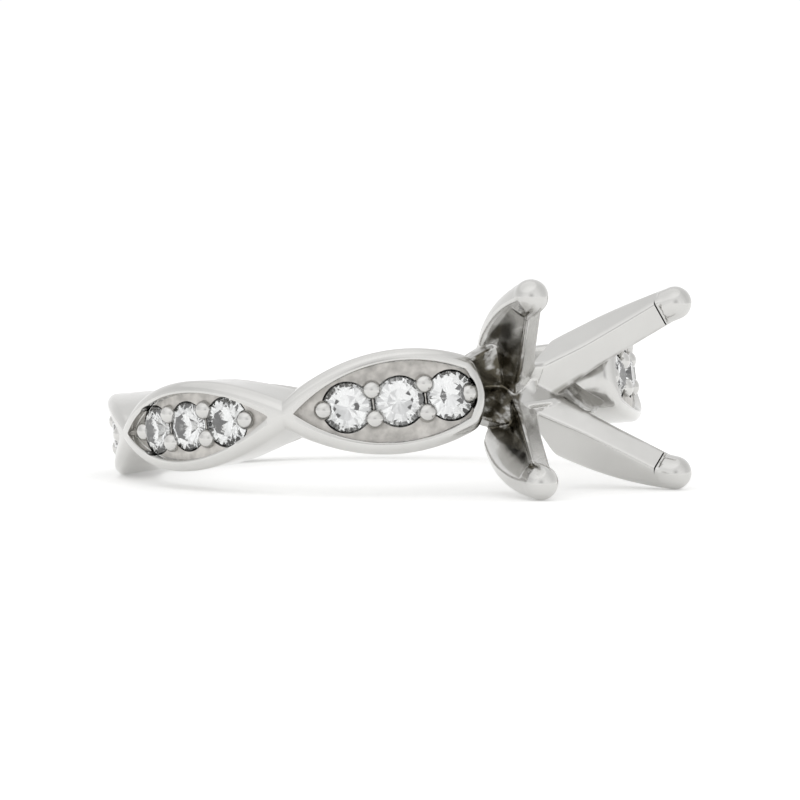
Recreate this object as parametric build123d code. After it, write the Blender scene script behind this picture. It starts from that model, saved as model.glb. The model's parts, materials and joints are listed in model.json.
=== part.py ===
from build123d import *
from math import acos, atan2, cos, hypot, pi, radians, sin, sqrt
import os

# Semi mount ring setting in millimetres: a shank of marquise panels that meet at narrow
# waists, eighteen small round stones held by beads, and an empty head of four prongs.
# While it is modelled, +X points at the head, +Z runs along the finger and the finger
# hole is centred on the origin. Angles are degrees round the finger from the head.
# The finished ring is laid on its side at the end, with the floor at Z = 0.

# Shank
FINGER_RADIUS = 8.6
BAND_WALL = 1.8
PANEL_PITCH = 48.0
PANEL_OVERLAP_ANGLE = 0.25
SHOULDER_HALF_WIDTH = 1.88
SIDE_HALF_WIDTH = 1.66
LOWER_HALF_WIDTH = 1.62
BASE_HALF_WIDTH = 1.58
INNER_EDGE_SET_BACK = 0.08
WAIST_HALF_WIDTH = 0.41
WAIST_INNER_HALF_WIDTH = 0.88
RIM_ROUNDING = 0.36
SHOULDER_END_ANGLE = 18.4
SHOULDER_END_ARC = 2.3
SHOULDER_CORNER = 0.45

# Recess, stones and beads
RIM_WIDTH = 0.43
RECESS_DEPTH = 0.3
RECESS_HALF_SPAN = 21.3
STONES_PER_PANEL = 3
STONE_STEP = 10.7
STONE_RADIUS = 0.87
STONE_GIRDLE_DROP = 0.05
STONE_GIRDLE = 0.05
STONE_CROWN = 0.26
STONE_PAVILION = 0.74
STONE_TABLE_RADIUS = 0.48
STONE_SIDES = 8
STONE_GAP = 0.035
SEAT_GAP = 0.06
BEAD_RADIUS = 0.33
TIP_BEAD_RADIUS = 0.36
BEAD_HALF_SPREAD = 0.52
TIP_BEAD_ANGLE = 15.5
END_BEAD_ANGLE = 14.4

# Head
PRONG_FOOT_SINK = 1.4
PRONG_FOOT_SHIFT = -0.3
PRONG_RISE = 2.0
PRONG_BOW = 0.52
PRONG_SIDEWAYS_SHARE = 0.8
PRONG_FOOT_DEPTH = 1.5
PRONG_FOOT_WIDTH = 1.32
PRONG_MIDDLE_DEPTH = 1.7
PRONG_MIDDLE_WIDTH = 1.12
PRONG_NECK_DEPTH = 0.9
PRONG_NECK_WIDTH = 1.1
PRONG_BULGE_SHARE = 0.36
PRONG_TIP_RADIUS = 0.62
# Sideways and finger-ways place of each tip: the prongs lean a little unevenly.
PRONG_TIPS = {
    "near_upper": (-3.0, 3.1),
    "near_lower": (-3.6, -3.4),
    "far_upper": (4.4, 2.4),
    "far_lower": (3.3, -3.8),
}
NOTCH_BELOW_TIP = 0.72
NOTCH_DEPTH = 0.14
NOTCH_HALF_HEIGHT = 0.3
BRIDGE_HEIGHT = 0.6
BRIDGE_HALF_WIDTH = 0.8
BRIDGE_OVERLAP_ANGLE = 3.0
GROOVE_FLOOR = 0.25
GROOVE_HALF_WIDTH = 0.6

# Steps along each half panel in the search for the floor.
FLOOR_STEPS = 5

OUTER_RADIUS = FINGER_RADIUS + BAND_WALL
FLOOR_RADIUS = OUTER_RADIUS - RECESS_DEPTH
GIRDLE_RADIUS = FLOOR_RADIUS - STONE_GIRDLE_DROP
PRONG_FOOT_RADIUS = FINGER_RADIUS - PRONG_FOOT_SINK
PRONG_REACH = OUTER_RADIUS + PRONG_RISE
HALF_PITCH = PANEL_PITCH / 2
SHOULDER_CENTRE = 180 - 3 * PANEL_PITCH
# Height of the cutting solids, well past the widest panel.
TALL = 3 * SHOULDER_HALF_WIDTH


def across_radius(angle, distance):
    """Plane square to the radius: x runs round the band, y along the finger."""
    a = radians(angle)
    return Plane(
        origin=(distance * cos(a), distance * sin(a), 0),
        x_dir=(-sin(a), cos(a), 0),
        z_dir=(cos(a), sin(a), 0),
    )


def polar(radius, angle):
    """Point of the flat ring at a distance and an angle."""
    return (radius * cos(radians(angle)), radius * sin(radians(angle)))


def arc_radius(half_width, reach, width_there):
    """Radius of the arc that peaks at half_width and has width_there at a distance of reach."""
    rise = half_width - width_there
    return (rise * rise + reach * reach) / (2 * rise)


def arc_width(half_width, reach, width_there, along):
    """Half width of that arc's lens at a distance along it."""
    radius = arc_radius(half_width, reach, width_there)
    return sqrt(radius * radius - along * along) - radius + half_width


def lens_through(half_width, reach, width_there):
    """Half length of the lens made of two such arcs."""
    return sqrt(half_width * (2 * arc_radius(half_width, reach, width_there) - half_width))


def lens_face(plane, half_length, half_width):
    """Pointed lens made of two arcs."""
    upper = ThreePointArc((-half_length, 0), (0, half_width), (half_length, 0))
    lower = ThreePointArc((half_length, 0), (0, -half_width), (-half_length, 0))
    return plane * make_face(upper + lower)


def band_sector(start, end, low, high):
    """Piece of a plain band between two angles and two radii."""
    middle = (start + end) / 2
    outline = (
        Line(polar(low, start), polar(high, start))
        + ThreePointArc(polar(high, start), polar(high, middle), polar(high, end))
        + Line(polar(high, end), polar(low, end))
        + ThreePointArc(polar(low, end), polar(low, middle), polar(low, start))
    )
    return extrude(make_face(outline), amount=TALL / 2, both=True)


def radius_at(edge, t):
    """Distance of a point of an edge from the ring's axis."""
    return hypot((edge @ t).X, (edge @ t).Y)


def rim_edges(solid):
    """Curved edges that run along the outer surface of the band."""
    return [
        edge
        for edge in solid.edges()
        if edge.geom_type != GeomType.LINE
        and all(abs(radius_at(edge, t) - OUTER_RADIUS) < 1e-3 for t in (0, 0.5, 1))
    ]


def end_corners(solid, plane):
    """Corners of a blunt end, from the finger hole to the outer surface."""
    return [
        edge
        for edge in solid.edges()
        if abs(radius_at(edge, 0) - radius_at(edge, 1)) > BAND_WALL / 2
        and plane.to_local_coords(edge @ 0.5).X < 0
    ]


def panel_body(centre, half_width):
    """Solid marquise panel between two waists, before its recess is cut."""
    half = radians(HALF_PITCH)
    outer_reach = OUTER_RADIUS * sin(half)
    inner_reach = FINGER_RADIUS * sin(half)
    inner_half = half_width - INNER_EDGE_SET_BACK
    outer = lens_face(
        across_radius(centre, OUTER_RADIUS),
        lens_through(half_width, outer_reach, WAIST_HALF_WIDTH),
        half_width,
    )
    inner = lens_face(
        across_radius(centre, FINGER_RADIUS * cos(half)),
        lens_through(inner_half, inner_reach, WAIST_INNER_HALF_WIDTH),
        inner_half,
    )
    reach = HALF_PITCH + PANEL_OVERLAP_ANGLE
    sector = band_sector(centre - reach, centre + reach, FINGER_RADIUS, OUTER_RADIUS)
    return loft([inner, outer], ruled=True) & sector


def blunt_keep(centre, trim):
    """Volume that rounds off the head end of a shoulder panel; trim sets it back by the rim."""
    reach = OUTER_RADIUS * sin(radians(centre - SHOULDER_END_ANGLE))
    plane = across_radius(centre, 0)
    arc_centre = SHOULDER_END_ARC - reach
    radius = SHOULDER_END_ARC - trim
    disc = Pos(arc_centre, 0) * Circle(radius)
    rest = Pos(arc_centre + OUTER_RADIUS / 2, 0) * Rectangle(OUTER_RADIUS, 2 * radius)
    return extrude(plane * (disc + rest), amount=2 * OUTER_RADIUS)


def recess(centre, half_width, blunt):
    """Pointed hollow in the outer face of a panel."""
    half_length = OUTER_RADIUS * sin(radians(RECESS_HALF_SPAN))
    lens = lens_face(across_radius(centre, 0), half_length, half_width - RIM_WIDTH)
    hollow = extrude(lens, amount=2 * OUTER_RADIUS)
    if blunt:
        hollow = hollow & blunt_keep(centre, RIM_WIDTH)
    return hollow - Cylinder(FLOOR_RADIUS, TALL)


def panel(centre, half_width, blunt=False, set_with_stones=True):
    """Marquise panel with its rounded rim and, where stones sit, its recess."""
    body = panel_body(centre, half_width)
    if blunt:
        body = body & blunt_keep(centre, 0)
        body = fillet(end_corners(body, across_radius(centre, 0)), SHOULDER_CORNER)
    body = fillet(rim_edges(body), RIM_ROUNDING)
    if set_with_stones:
        body = body - recess(centre, half_width, blunt)
    return body


def stone_profile(gap):
    """Half section of a round stone, grown by a gap, with its axis along Y and its girdle at zero."""
    radius = STONE_RADIUS + gap
    half_girdle = STONE_GIRDLE / 2 + gap
    point_gap = gap * hypot(STONE_RADIUS, STONE_PAVILION) / STONE_RADIUS
    return Polyline(
        (0, -STONE_PAVILION - point_gap),
        (radius, -half_girdle),
        (radius, half_girdle),
        (STONE_TABLE_RADIUS + gap, STONE_CROWN + gap),
        (0, STONE_CROWN + gap),
        close=True,
    )


def stone_angles(centre):
    """Angles of the stones of one panel, from its head end."""
    first = -(STONES_PER_PANEL - 1) / 2
    return [centre + (first + k) * STONE_STEP for k in range(STONES_PER_PANEL)]


def stone_room(angle):
    """Room of a stone in the metal, with its gap all round."""
    room = revolve(Plane.XZ * make_face(stone_profile(STONE_GAP)), Axis.Z)
    return across_radius(angle, GIRDLE_RADIUS) * room


def burr_hole(angle):
    """Round hole that a stone drops through, from its girdle up past the rim."""
    height = 2 * BAND_WALL
    hole = Pos(0, 0, height / 2 - STONE_GIRDLE) * Cylinder(STONE_RADIUS + SEAT_GAP, height)
    return across_radius(angle, GIRDLE_RADIUS) * hole


def beads(centre, blunt):
    """Raised beads: a pair in each gap between stones and one at each end of the recess."""
    made = []
    angles = stone_angles(centre)
    for a, b in zip(angles, angles[1:]):
        for side in (-1, 1):
            spot = across_radius((a + b) / 2, FLOOR_RADIUS) * Pos(0, side * BEAD_HALF_SPREAD)
            made.append(spot * Sphere(BEAD_RADIUS))
    head_end = END_BEAD_ANGLE if blunt else TIP_BEAD_ANGLE
    for turn in (-head_end, TIP_BEAD_ANGLE):
        made.append(across_radius(centre + turn, FLOOR_RADIUS) * Sphere(TIP_BEAD_RADIUS))
    return made


def jewelled_panel(centre, half_width, blunt=False):
    """Panel with its recess, drilled seats and beads."""
    body = panel(centre, half_width, blunt)
    body = body - [burr_hole(angle) for angle in stone_angles(centre)]
    body = body + beads(centre, blunt)
    return body - [stone_room(angle) for angle in stone_angles(centre)]


def ring_of_points(count, radius, height):
    """Points evenly round a stone's axis."""
    turns = [2 * pi * k / count for k in range(count)]
    return [(radius * cos(t), radius * sin(t), height) for t in turns]


def stone(angle):
    """Round stone with a table, eight star facets, crown, girdle and pavilion facets."""
    sides = STONE_SIDES
    table = ring_of_points(sides, STONE_TABLE_RADIUS, STONE_CROWN)
    upper = ring_of_points(2 * sides, STONE_RADIUS, STONE_GIRDLE / 2)
    lower = ring_of_points(2 * sides, STONE_RADIUS, -STONE_GIRDLE / 2)
    point = (0, 0, -STONE_PAVILION)
    facets = [table]
    for k in range(sides):
        corner = table[k]
        facets.append([corner, upper[2 * k + 1], table[(k + 1) % sides]])
        facets.append([corner, upper[2 * k - 1], upper[2 * k]])
        facets.append([corner, upper[2 * k], upper[2 * k + 1]])
    for j in range(2 * sides):
        after = (j + 1) % (2 * sides)
        facets.append([upper[j], lower[j], lower[after], upper[after]])
        facets.append([lower[j], point, lower[after]])
    faces = [Face(Wire.make_polygon(corners, close=True)) for corners in facets]
    return across_radius(angle, GIRDLE_RADIUS) * Solid(Shell(faces))


def prong_section(plane, depth, width):
    """Prong section: flat towards the centre stone, rounded outside."""
    flank = depth / 2 - PRONG_BULGE_SHARE * depth
    outline = (
        Line((-depth / 2, -width / 2), (flank, -width / 2))
        + ThreePointArc((flank, -width / 2), (depth / 2, 0), (flank, width / 2))
        + Line((flank, width / 2), (-depth / 2, width / 2))
        + Line((-depth / 2, width / 2), (-depth / 2, -width / 2))
    )
    return plane * make_face(outline)


def prong(sideways, fingerways):
    """Bowed and tapered prong from the foot of the head to a rounded tip."""
    foot = Vector(PRONG_FOOT_RADIUS, 0, PRONG_FOOT_SHIFT)
    tip = Vector(PRONG_REACH, sideways, fingerways)
    away = Vector(0, PRONG_SIDEWAYS_SHARE * sideways, fingerways)
    along = (tip - foot).normalized()
    outward = (away - along * away.dot(along)).normalized()
    # The neck's outer face runs straight into the rounded tip.
    neck = tip + outward * (PRONG_TIP_RADIUS - PRONG_NECK_DEPTH / 2)
    run = neck - foot
    sections = []
    for t, depth, width in (
        (0, PRONG_FOOT_DEPTH, PRONG_FOOT_WIDTH),
        (0.5, PRONG_MIDDLE_DEPTH, PRONG_MIDDLE_WIDTH),
        (1, PRONG_NECK_DEPTH, PRONG_NECK_WIDTH),
    ):
        place = foot + run * t + outward * (4 * PRONG_BOW * t * (1 - t))
        heading = (run + outward * (4 * PRONG_BOW * (1 - 2 * t))).normalized()
        across = (outward - heading * outward.dot(heading)).normalized()
        sections.append(prong_section(Plane(place, across, heading), depth, width))
    notch = Polyline(
        (NOTCH_DEPTH - PRONG_NECK_DEPTH / 2, -NOTCH_BELOW_TIP),
        (-PRONG_NECK_DEPTH, NOTCH_HALF_HEIGHT - NOTCH_BELOW_TIP),
        (-PRONG_NECK_DEPTH, -NOTCH_HALF_HEIGHT - NOTCH_BELOW_TIP),
        close=True,
    )
    cut = extrude(Plane.XZ * make_face(notch), amount=PRONG_NECK_WIDTH, both=True)
    body = loft(sections) + Pos(tip) * Sphere(PRONG_TIP_RADIUS)
    return body - Plane(place, across, heading) * cut


def head():
    """Four prongs that meet over the finger hole."""
    prongs = [prong(*place) for place in PRONG_TIPS.values()]
    return prongs[0] + prongs[1:]


def bridge():
    """Low grooved stretch of the shank under the head, between the shoulder panels."""
    reach = SHOULDER_END_ANGLE + BRIDGE_OVERLAP_ANGLE
    top = FINGER_RADIUS + BRIDGE_HEIGHT
    slab = Box(4 * OUTER_RADIUS, 4 * OUTER_RADIUS, 2 * BRIDGE_HALF_WIDTH)
    body = band_sector(-reach, reach, FINGER_RADIUS, top) & slab
    groove = Polyline(
        (FINGER_RADIUS + GROOVE_FLOOR, 0),
        (top, GROOVE_HALF_WIDTH),
        (top + GROOVE_FLOOR, GROOVE_HALF_WIDTH),
        (top + GROOVE_FLOOR, -GROOVE_HALF_WIDTH),
        (top, -GROOVE_HALF_WIDTH),
        close=True,
    )
    return body - revolve(Plane.XZ * make_face(groove), Axis.Z)


def lower_edge_points():
    """Points along the lower edges of the back of the band, where it may touch the floor."""
    half = radians(HALF_PITCH)
    lower_centre = SHOULDER_CENTRE + 2 * PANEL_PITCH
    points = []
    for centre, half_width in ((lower_centre, LOWER_HALF_WIDTH), (180, BASE_HALF_WIDTH)):
        for step in range(-FLOOR_STEPS, FLOOR_STEPS + 1):
            turn = step * HALF_PITCH / FLOOR_STEPS
            for radius, peak, waist in (
                (OUTER_RADIUS - RIM_ROUNDING, half_width, WAIST_HALF_WIDTH),
                (FINGER_RADIUS, half_width - INNER_EDGE_SET_BACK, WAIST_INNER_HALF_WIDTH),
            ):
                width = arc_width(peak, radius * sin(half), waist, radius * sin(radians(turn)))
                x, y = polar(radius, centre + turn)
                points.append(Vector(x, y, -width))
                points.append(Vector(x, -y, -width))
    return points


def resting_plane():
    """Floor under the two lower prong tips and the back of the band, with X towards the head."""
    near = Vector(PRONG_REACH, *PRONG_TIPS["near_lower"])
    far = Vector(PRONG_REACH, *PRONG_TIPS["far_lower"])
    hinge = (far - near).normalized()
    up = (Vector(0, 0, 1) - hinge * hinge.Z).normalized()
    ahead = hinge.cross(up)
    leans = []
    for point in lower_edge_points():
        height, run = (point - near).dot(up), (point - near).dot(ahead)
        leans.append(atan2(run, height) + acos(-PRONG_TIP_RADIUS / hypot(height, run)))
    lean = min(leans)
    normal = up * cos(lean) + ahead * sin(lean)
    contact = near - normal * PRONG_TIP_RADIUS
    x_dir = Vector(1, 0, 0) - normal * normal.X
    return Plane(contact, x_dir, normal)


def metal():
    """Cast and soldered metal: shank, bridge, head and beads in one solid."""
    shoulder = jewelled_panel(SHOULDER_CENTRE, SHOULDER_HALF_WIDTH, blunt=True)
    side = jewelled_panel(SHOULDER_CENTRE + PANEL_PITCH, SIDE_HALF_WIDTH)
    lower = jewelled_panel(SHOULDER_CENTRE + 2 * PANEL_PITCH, LOWER_HALF_WIDTH)
    base = panel(180, BASE_HALF_WIDTH, set_with_stones=False)
    far = [shoulder, side, lower]
    near = [mirror(piece, about=Plane.XZ) for piece in far]
    whole = base + far + near + bridge() + head()
    return whole - Cylinder(FINGER_RADIUS, 2 * TALL)


def stones():
    """Stones of both sides, numbered from the head to the back."""
    made = {}
    for side, sign in (("near", -1), ("far", 1)):
        number = 1
        for step in range(3):
            for angle in stone_angles(SHOULDER_CENTRE + step * PANEL_PITCH):
                made[f"stone_{side}_{number}"] = stone(sign * angle)
                number += 1
    return made


def main():
    nodes = {"shank_and_head": metal(), **stones()}
    floor = resting_plane()
    laid = {name: floor.to_local_coords(solid) for name, solid in nodes.items()}
    box = laid["shank_and_head"].bounding_box()
    shift = Pos(-box.center().X, -box.center().Y, -box.min.Z)
    os.makedirs("parts", exist_ok=True)
    for name, solid in laid.items():
        export_step(shift * solid, f"parts/{name}.step")


if __name__ == "__main__":
    main()
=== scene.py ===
"""Semi mount ring setting: shank, beads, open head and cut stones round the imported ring."""

import json
import math

import bmesh
import bpy
import numpy as np
from bpy.props import FloatProperty, FloatVectorProperty, IntProperty, PointerProperty
from mathutils import Matrix, Vector


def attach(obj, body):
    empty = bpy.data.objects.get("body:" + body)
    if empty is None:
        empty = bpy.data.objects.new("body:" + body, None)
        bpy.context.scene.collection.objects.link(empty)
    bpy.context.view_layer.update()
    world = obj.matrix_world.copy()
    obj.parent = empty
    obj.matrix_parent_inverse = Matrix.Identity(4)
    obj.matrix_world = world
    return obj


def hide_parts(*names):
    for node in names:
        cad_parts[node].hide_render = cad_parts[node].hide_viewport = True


bl_info = {
    "name": "Semi mount ring setting",
    "version": (1, 0, 0),
    "blender": (4, 5, 0),
    "location": "View3D > Sidebar > Ring",
    "description": "Builds the shank, head, beads, stones and stage of an empty four-prong ring",
    "category": "Add Mesh",
}

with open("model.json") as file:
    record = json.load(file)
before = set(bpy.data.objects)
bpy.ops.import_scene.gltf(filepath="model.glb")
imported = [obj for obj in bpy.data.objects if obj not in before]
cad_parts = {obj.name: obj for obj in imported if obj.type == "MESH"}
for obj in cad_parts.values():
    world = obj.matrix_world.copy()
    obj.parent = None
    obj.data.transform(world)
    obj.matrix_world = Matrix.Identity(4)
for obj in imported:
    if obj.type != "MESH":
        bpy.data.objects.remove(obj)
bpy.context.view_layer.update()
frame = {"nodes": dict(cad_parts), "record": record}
METAL_NODE = "shank_and_head"
STONE_NODES = sorted(name for name in frame["nodes"] if name.startswith("stone_"))
MOUNTS = {mount["name"]: mount for mount in frame["record"]["mounts"]}

# One millimetre in metres: the sizes below are in millimetres and the scene is in metres
MM = 0.001

# Panels: their places round the band in degrees from the head, and their length in millimetres
STONES_PER_PANEL = 3
PANEL_LENGTH = 9
PANEL_PITCH = 48.0
HALF_PITCH = PANEL_PITCH / 2
SHOULDER_CENTRE = 180 - 3 * PANEL_PITCH
BASE_CENTRE = 180
WAIST_OVERLAP = 2.2
BRIDGE_OVERLAP = 1.5

# Sideways and finger-ways place of each tip: the prongs lean a little unevenly
PRONG_TIPS = {
    "near_upper": (-3.0, 3.1),
    "near_lower": (-3.6, -3.4),
    "far_upper": (4.4, 2.4),
    "far_lower": (3.3, -3.8),
}

# Small sizes that soften edges and corners, in millimetres
SHOULDER_CORNER = 0.18
RECESS_CORNER = 0.035
PRONG_CORNER = 0.12
BRIDGE_CORNER = 0.06
BORE_STRIP = 0.25
NARROWEST_RECESS = 0.03
BRIDGE_SINK = 0.1
BORE_HALF_LENGTH = 3.5
NEEDLE = 0.04
SMALLEST_RING = 0.001
SAME_POINT = 0.002
FLAT_EDGE = 0.001
ON_FLOOR = 0.02

# Shares of a lens, of a panel's length from its waist, and of a plain panel's half width
LENS_END = 0.999
BLUNT_PART = 0.75
PLAIN_MIDDLE = 0.4

# How finely the shapes are drawn, and the angles in degrees past which an edge is sharp
OUTLINE_POINTS = 900
END_POINTS = 200
RIM_STEPS = 9
ROUND_SIDES = 40
HUB_SIDES = 32
HUB_RINGS = 20
BORE_SIDES = 180
PRONG_ROWS = 28
BRIDGE_ROWS = 64
CAP_RINGS = 16
BEAD_SIDES = 28
BEAD_RINGS = 16
SHARP_ANGLE = 35
HEAD_SHARP_ANGLE = 32

# Grains of the finishes in a metre, and strength and depth in millimetres of their unevenness
TONE_GRAIN = 420
ROUGHNESS_GRAIN = 2600
WAVE_GRAIN = 900
STONE_GRAIN = 700
FLOOR_GRAIN = 30
POLISH_BUMP = (0.12, 0.02)
GRAVER_BUMP = (0.5, 0.03)
GRAVED_ROUGHNESS = 0.4
FLOOR_ROUGHNESS = 0.8
STONE_REFRACTION = 2.4

# Camera: where it aims in millimetres, the way it looks in degrees, and its lens
AIM = (0.078, 0.0, 3.004)
VIEW_AZIMUTH = -48.344
VIEW_ELEVATION = 2.722
VIEW_DISTANCE = 100.0
FOCAL_PIXELS = 2564.4
FRAME_PIXELS = 800
SENSOR_WIDTH = 36.0
NEAREST_SEEN = 5.0

# Floor in metres, and even light in watts a square metre with its softness in degrees
FLOOR_HALF_WIDTH = 1.5
LIGHT_TOWARDS = (0.1, 0.35, -1)
LIGHT_POWER = 0.3
LIGHT_SOFTNESS = 90

# Where the white tent opens, and its tones from behind to there, then from level to overhead
TENT_OPENING = (0.74, -0.66, 0.1)
TENT_PLACES = (0.0, 0.1, 0.35, 0.58, 0.8, 0.95, 0.985, 1.0)
TENT_TONES = (1.0, 1.0, 0.88, 0.86, 1.04, 1.12, 0.95, 0.6)
HEIGHT_PLACES = (0.0, 0.25, 0.6, 1.0)
HEIGHT_TONES = (1.06, 1.0, 0.96, 1.05)


def ring_matrix():
    """Places the ring's own frame, X to the head and Z along the finger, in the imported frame."""
    hole = MOUNTS["finger_hole"]
    up = Vector(hole["axis"]).normalized()
    ahead = Vector(MOUNTS["centre_stone_seat"]["axis"])
    ahead = (ahead - up * ahead.dot(up)).normalized()
    turn = Matrix((ahead, up.cross(ahead), up)).transposed().to_4x4()
    return Matrix.Translation(Vector(hole["pos_m"])) @ turn @ Matrix.Scale(MM, 4)


RING = ring_matrix()


def ring_direction(way):
    """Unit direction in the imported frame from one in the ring's own frame."""
    return (RING.to_3x3() @ Vector(way)).normalized()


# Sizes and finishes that a user would change


def length(name, about, default):
    """Size in millimetres."""
    return FloatProperty(name=name, description=f"{about}, in millimetres", default=default)


def angle(name, about, default):
    """Angle, with its default in degrees."""
    return FloatProperty(
        name=name, description=about, default=math.radians(default), subtype="ANGLE"
    )


def share(name, about, default):
    """Share from zero to one."""
    return FloatProperty(
        name=name, description=about, default=default, min=0, max=1, subtype="FACTOR"
    )


def grain(name, about, default):
    """Number of repeats in a metre."""
    return FloatProperty(name=name, description=f"{about} in a metre", default=default, min=0)


def colour(name, about, default):
    """Colour, from its red, green and blue shares."""
    return FloatVectorProperty(
        name=name, description=about, default=default, size=3, min=0, max=1, subtype="COLOR"
    )


class ShankSizes(bpy.types.PropertyGroup):
    """Sizes of the band"""

    finger_radius: length(
        "Finger radius", "Radius of the finger hole", MOUNTS["finger_hole"]["dims"]["r_mm"]
    )
    band_wall: length("Band wall", "Thickness of the band", 1.8)
    shoulder_half_width: length("Shoulder half width", "Half width of the head's panels", 1.88)
    side_half_width: length("Side half width", "Half width of the side panels", 1.66)
    lower_half_width: length("Lower half width", "Half width of the lower panels", 1.62)
    base_half_width: length("Base half width", "Half width of the plain panel at the back", 1.58)
    waist_half_width: length("Waist half width", "Half width outside where panels meet", 0.41)
    waist_inner_half_width: length(
        "Waist inner half width", "Half width at the finger where panels meet", 0.88
    )
    inner_edge_set_back: length(
        "Inner edge set back", "How much narrower a panel is at the finger", 0.08
    )
    rim_rounding: length("Rim rounding", "Radius of the rounded rim", 0.36)
    rim_width: length("Rim width", "From the outline to the recess", 0.43)
    recess_depth: length("Recess depth", "Depth of the floor under the rim", 0.3)
    recess_half_span: angle("Recess half span", "From a panel's centre to its recess's tip", 21.3)
    shoulder_end_angle: angle("Shoulder end", "From the head to the shoulder's blunt end", 18.4)
    shoulder_end_arc: length("Shoulder end arc", "Radius of the blunt end", 2.3)


class StoneSizes(bpy.types.PropertyGroup):
    """Sizes of the small stones, seats and beads"""

    radius: length("Stone radius", "Radius of a small stone", 0.87)
    step: angle("Stone step", "Between neighbouring stones", 10.7)
    girdle_drop: length("Girdle drop", "Girdle below the recess's floor", 0.05)
    pavilion: length("Pavilion", "Depth below the girdle", 0.74)
    seat_gap: length("Seat gap", "Room round the girdle", 0.06)
    bead_radius: length("Bead radius", "Radius of a bead", 0.36)
    bead_height: share("Bead height", "Height of a bead as a share of its radius", 0.88)
    tip_bead_radius: length("Tip bead radius", "Radius of the bead in a recess's tip", 0.36)
    bead_half_spread: length("Bead spread", "From the centreline to a bead of a pair", 0.52)
    tip_bead_angle: angle("Tip bead angle", "From a panel's centre to a tip's bead", 15.5)
    end_bead_angle: angle(
        "End bead angle", "From the shoulder's centre to its blunt end's bead", 14.4
    )


class HeadSizes(bpy.types.PropertyGroup):
    """Sizes of the four prongs and the bridge"""

    foot_radius: length("Foot radius", "Where the prongs' lines start", 7.2)
    foot_shift: length("Foot shift", "Feet along the finger", -0.3)
    reach: length("Reach", "Height of the tips' centres", 12.4)
    bow: length("Bow", "Outward bow of a prong", 0.52)
    sideways_share: share("Sideways share", "How far a prong's outer face turns sideways", 0.8)
    foot_depth: length("Foot depth", "Depth of a prong's foot", 1.5)
    foot_width: length("Foot width", "Width of a prong's foot", 1.32)
    middle_depth: length("Middle depth", "Depth halfway", 1.7)
    middle_width: length("Middle width", "Width halfway", 1.12)
    neck_depth: length("Neck depth", "Depth under the tip", 0.9)
    neck_width: length("Neck width", "Width under the tip", 1.1)
    bulge_share: share("Bulge share", "Rounding of the outer face", 0.36)
    tip_radius: length("Tip radius", "Radius of a rounded tip", 0.62)
    hub_radius: length("Hub radius", "Where the prongs' inner faces meet", 8.45)
    root_spread: length("Root spread", "Widening of a prong at its foot", 0.4)
    cap_length: length("Cap length", "Full round below the tip's centre", 0.42)
    notch_below_tip: length("Notch below tip", "From tip to notch", 0.52)
    notch_depth: length("Notch depth", "Depth of the notch", 0.06)
    notch_half_height: length("Notch half height", "Half the notch's opening", 0.05)
    bridge_height: length("Bridge height", "Wall under the head", 0.6)
    bridge_half_width: length("Bridge half width", "Half width under the head", 0.8)
    groove_floor: length("Groove floor", "Wall under the groove", 0.25)
    groove_half_width: length("Groove half width", "Half width of the groove", 0.6)
    # Where the painted dark reflections and shade lie on the prongs, and how they fade towards the
    # tips
    painted_reflection_start: length("Shade start", "From a prong's middle to where its side darkens", 0.4)
    painted_reflection_full: length("Shade full", "From a prong's middle to where its side is dark", 0.52)
    painted_reflection_fade_start: length("Fade start", "From the ring's centre to where the dark tone fades", 9.9)
    painted_reflection_fade_end: length("Fade end", "From the ring's centre to where it has faded", 11.1)
    painted_reflection_at_tip: share("Shade at tip", "Share of the dark tone left at the tips", 0.35)
    web_shift: length("Web shift", "Web's middle along the finger", 0.15)
    web_rise: length("Web rise", "Rise of the bridge to the shoulders", 0.75)
    web_spread: length("Web spread", "Widening to the shoulders", 0.65)
    web_tuck: length("Web tuck", "Narrowing under the shoulder", 0.4)
    web_start: angle("Web start", "Where the bridge starts to rise", 5)
    web_end: angle("Web end", "Where the bridge is at its highest", 14)
    hub_foot: length("Hub foot", "Where the hub's egg is centred", 8.65)
    hub_height: length("Hub height", "Half height of the hub's egg", 0.36)
    hub_half_length: length("Hub half length", "Half length of the hub's egg", 1.35)
    casting_grain: length("Casting grain", "Size of the faces of the rounded casting", 0.05)


class RingLook(bpy.types.PropertyGroup):
    """Finishes of the metal, the stones and the stage"""

    metal_colour: colour("Metal", "Colour of the polished metal", (0.63, 0.625, 0.61))
    metal_roughness: share("Metal roughness", "Polish of the metal", 0.16)
    recess_colour: colour("Recess", "Colour of the recess floors", (0.62, 0.6, 0.57))
    recess_tone: share("Recess tone", "Darkest share of the recess's colour", 0.6)
    graver_grain: grain("Graver grain", "Graver marks", 2600)
    # Painted dark reflections and shade on the head's metal between the prongs: colour, far-side
    # strength, light patches and grain
    painted_reflection_colour: colour("Shade", "Dark tone between the prongs", (0.1, 0.09, 0.068))
    far_painted_reflection: share("Far shade", "Strength of the dark tone on the far side", 0.55)
    painted_reflection_break: share("Shade break", "Share of the metal's colour in its lighter patches", 0.85)
    painted_reflection_grain: grain("Shade grain", "Dark patches", 1400)
    stone_colour: colour("Stone", "Body colour of the stones", (0.9, 0.91, 0.91))
    floor_colour: colour("Floor", "Colour of the floor", (0.9, 0.9, 0.895))
    floor_glow: share("Floor glow", "Light that comes up through the floor", 0.27)
    rows_per_mm: IntProperty(name="Rows", description="Rows of faces in a millimetre", default=9)


def settings():
    """The sizes and finishes that the operators read."""
    return bpy.context.scene.ring_setting


# Meshes


def add_object(name, data):
    """New object at the origin of the scene."""
    obj = bpy.data.objects.new(name, data)
    bpy.context.scene.collection.objects.link(obj)
    return obj


def mesh_piece(name, points, faces, material):
    """Mesh object from points in the ring's frame, in millimetres."""
    mesh = bpy.data.meshes.new(name)
    mesh.from_pydata([RING @ Vector(p) for p in points], [], faces)
    finish_mesh(mesh, material)
    return add_object(name, mesh)


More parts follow.
